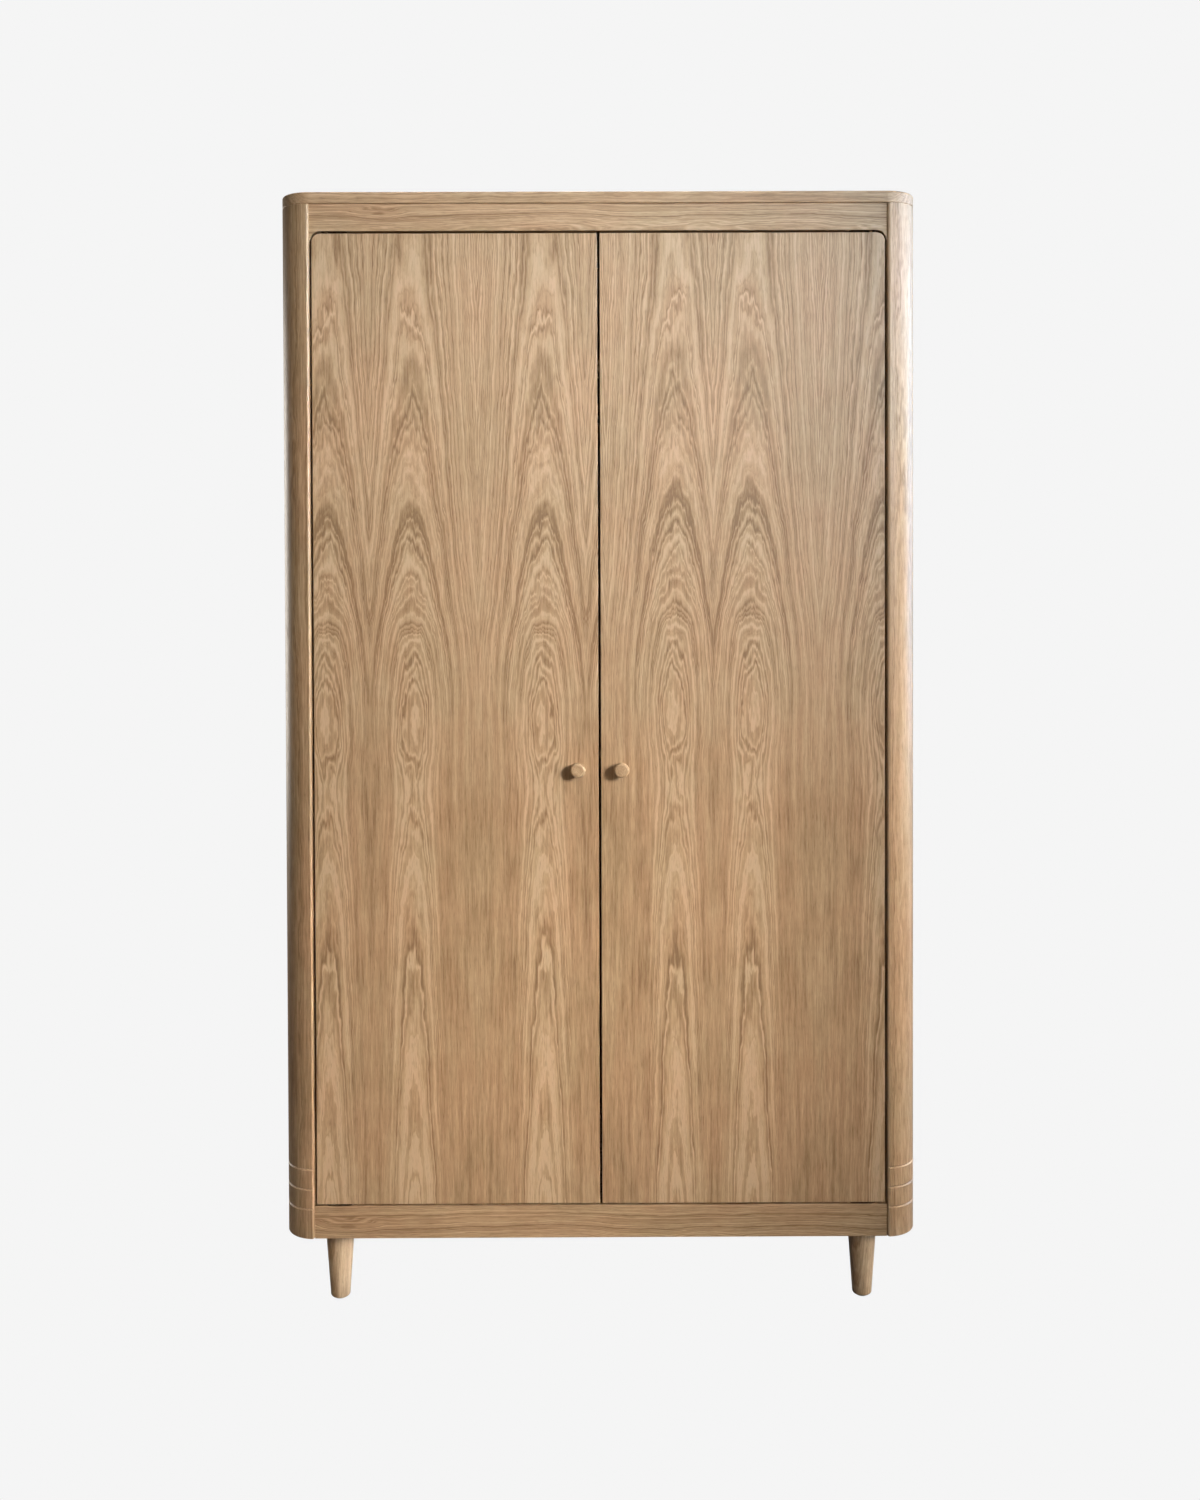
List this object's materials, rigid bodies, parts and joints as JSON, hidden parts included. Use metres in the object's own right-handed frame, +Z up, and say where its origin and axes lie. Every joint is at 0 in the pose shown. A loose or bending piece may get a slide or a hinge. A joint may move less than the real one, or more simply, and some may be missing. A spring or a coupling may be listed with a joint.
{
  "type": "two-door wardrobe",
  "caption": "Free-standing oak wardrobe with rounded beaded corner posts, flush pivot-hung doors, turned knobs, a hat shelf and a hanging rail on short tapered legs.",
  "frame": {"origin": "on the floor, at the middle of the box round the whole wardrobe", "axes": "+Z up, +X to the right of someone facing the doors, +Y from the doors towards the back"},
  "size_m": [1.1, 0.603, 1.934],
  "materials": {
    "oak_veneer": "satin oiled",
    "oak_solid": "satin oiled",
    "oak_back": "matt",
    "beech": "sawn",
    "rail_steel": "polished",
    "fitting_steel": "zinc plated",
    "pivot_steel": "browned",
    "bush_brass": "turned",
    "dark_plastic": "moulded",
    "nylon": "moulded"
  },
  "bodies": {
    "carcass": {"back_bottom_rail": "oak_solid", "back_centre_stile": "oak_solid", "back_rail_dowels": "beech", "back_top_rail": "oak_solid", "bottom_rail": "oak_solid", "floor_panel": "oak_veneer", "front_left_leg": "oak_solid", "front_left_leg_plate": "fitting_steel", "front_right_leg": "oak_solid", "front_right_leg_plate": "fitting_steel", "hanging_rail": "rail_steel", "hat_shelf": "oak_veneer", "left_back_panel": "oak_back", "left_bottom_pivot_pin": "pivot_steel", "left_bottom_pivot_plate": "pivot_steel", "left_catch_housing": "dark_plastic", "left_catch_magnet": "fitting_steel", "left_corner_post": "oak_solid", "left_rail_socket": "rail_steel", "left_side_panel": "oak_veneer", "left_thrust_washer": "dark_plastic", "left_top_pivot_pin": "pivot_steel", "left_top_pivot_plate": "pivot_steel", "leg_bolts": "fitting_steel", "leg_glides": "nylon", "rail_dowels": "beech", "rear_left_leg": "oak_solid", "rear_left_leg_plate": "fitting_steel", "rear_right_leg": "oak_solid", "rear_right_leg_plate": "fitting_steel", "right_back_panel": "oak_back", "right_bottom_pivot_pin": "pivot_steel", "right_bottom_pivot_plate": "pivot_steel", "right_catch_housing": "dark_plastic", "right_catch_magnet": "fitting_steel", "right_corner_post": "oak_solid", "right_rail_socket": "rail_steel", "right_side_panel": "oak_veneer", "right_thrust_washer": "dark_plastic", "right_top_pivot_pin": "pivot_steel", "right_top_pivot_plate": "pivot_steel", "shelf_pins": "fitting_steel", "top_dowels": "beech", "top_panel": "oak_veneer", "top_rail": "oak_solid"},
    "left_door": {"left_bottom_bush": "bush_brass", "left_door_panel": "oak_veneer", "left_knob": "oak_solid", "left_knob_screw": "fitting_steel", "left_strike_plate": "fitting_steel", "left_top_bush": "bush_brass"},
    "right_door": {"right_bottom_bush": "bush_brass", "right_door_panel": "oak_veneer", "right_knob": "oak_solid", "right_knob_screw": "fitting_steel", "right_strike_plate": "fitting_steel", "right_top_bush": "bush_brass"}
  },
  "joints": [
    {"name": "left_door_hinge", "type": "hinge", "parent": "carcass", "child": "left_door", "pos_m": [-0.4695, -0.2645, 1.0252], "axis": [0, 0, -1], "range_deg": [0, 110]},
    {"name": "right_door_hinge", "type": "hinge", "parent": "carcass", "child": "right_door", "pos_m": [0.4695, -0.2645, 1.0252], "axis": [0, 0, 1], "range_deg": [0, 110]}
  ]
}
